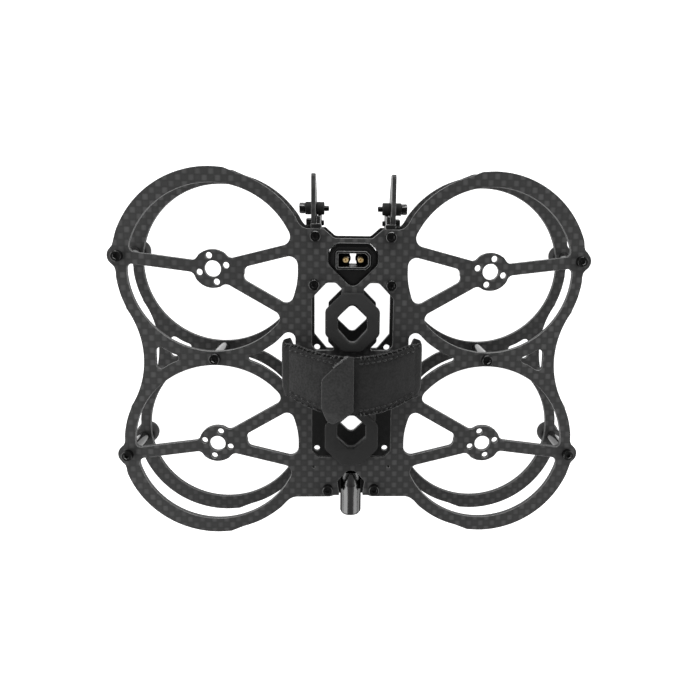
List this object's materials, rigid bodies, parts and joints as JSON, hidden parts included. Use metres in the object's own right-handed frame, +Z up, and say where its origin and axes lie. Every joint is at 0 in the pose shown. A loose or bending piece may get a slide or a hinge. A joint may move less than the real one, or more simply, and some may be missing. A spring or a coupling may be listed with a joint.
{
  "type": "quadcopter frame",
  "caption": "Bare ducted quadcopter frame: two carbon plates on standoffs, four ring guards, camera mount, power connector, battery strap and pads.",
  "frame": {"origin": "middle of the footprint at the level of the feet", "axes": "+X to the right, +Y forward towards the camera mount, +Z up"},
  "size_m": [0.1608, 0.1262, 0.0366],
  "materials": {
    "carbon": "woven carbon plate, satin",
    "black_steel": "black oxide",
    "black_anodised": "gloss black anodised",
    "black_rubber": "matt",
    "pad_rubber": "smooth matt dark grey",
    "black_plastic": "satin",
    "gold_plate": "bright gold plated",
    "webbing": "black hook-and-loop webbing",
    "webbing_loop": "dark grey loop pile"
  },
  "bodies": {
    "frame": {"top_plate": "carbon", "bottom_plate": "carbon", "camera_plate_left": "carbon", "camera_plate_right": "carbon", "front_left_lug_standoff": "black_anodised", "front_left_lug_top_screw": "black_steel", "front_left_lug_bottom_screw": "black_steel", "front_left_lug_foot": "black_rubber", "rear_left_lug_standoff": "black_anodised", "rear_left_lug_top_screw": "black_steel", "rear_left_lug_bottom_screw": "black_steel", "rear_left_lug_foot": "black_rubber", "middle_left_standoff": "black_anodised", "middle_left_top_screw": "black_steel", "middle_left_bottom_screw": "black_steel", "nose_left_standoff": "black_anodised", "nose_left_top_screw": "black_steel", "nose_left_bottom_screw": "black_steel", "body_left_standoff": "black_anodised", "body_left_top_screw": "black_steel", "body_left_bottom_screw": "black_steel", "front_right_lug_standoff": "black_anodised", "front_right_lug_top_screw": "black_steel", "front_right_lug_bottom_screw": "black_steel", "front_right_lug_foot": "black_rubber", "rear_right_lug_standoff": "black_anodised", "rear_right_lug_top_screw": "black_steel", "rear_right_lug_bottom_screw": "black_steel", "rear_right_lug_foot": "black_rubber", "middle_right_standoff": "black_anodised", "middle_right_top_screw": "black_steel", "middle_right_bottom_screw": "black_steel", "nose_right_standoff": "black_anodised", "nose_right_top_screw": "black_steel", "nose_right_bottom_screw": "black_steel", "body_right_standoff": "black_anodised", "body_right_top_screw": "black_steel", "body_right_bottom_screw": "black_steel", "tail_left_screw": "black_steel", "tail_right_screw": "black_steel", "front_battery_pad": "pad_rubber", "rear_battery_pad": "pad_rubber", "battery_strap": "webbing", "power_connector_shell": "black_plastic", "camera_bracket_left": "black_plastic", "camera_bracket_right": "black_plastic", "power_pin_left": "gold_plate", "power_pin_right": "gold_plate", "connector_holder": "black_rubber", "antenna_tube_holder": "black_rubber", "camera_clamp_screw_left": "black_steel", "camera_clamp_screw_right": "black_steel", "antenna_tube": "black_anodised"},
    "camera_pivot_left": {"camera_pivot_screw_left": "black_steel", "camera_washer_left": "black_rubber", "camera_bobbin_left": "black_rubber"},
    "camera_pivot_right": {"camera_pivot_screw_right": "black_steel", "camera_washer_right": "black_rubber", "camera_bobbin_right": "black_rubber"},
    "strap_tail": {"strap_free_end": "webbing_loop"}
  },
  "joints": [
    {"name": "camera_tilt_left", "type": "hinge", "parent": "frame", "child": "camera_pivot_left", "pos_m": [-0.01325, 0.05025, 0.014], "axis": [1, 0, 0], "range_deg": [-10, 45]},
    {"name": "camera_tilt_right", "type": "hinge", "parent": "frame", "child": "camera_pivot_right", "pos_m": [0.01325, 0.05025, 0.014], "axis": [1, 0, 0], "range_deg": [-10, 45]},
    {"name": "strap_peel", "type": "hinge", "parent": "frame", "child": "strap_tail", "pos_m": [0.00048, -0.005, 0.0354], "axis": [0, 1, 0], "range_deg": [0, 95]}
  ],
  "couplings": [
    {"joint": "camera_tilt_right", "follows": "camera_tilt_left", "ratio": 1}
  ]
}
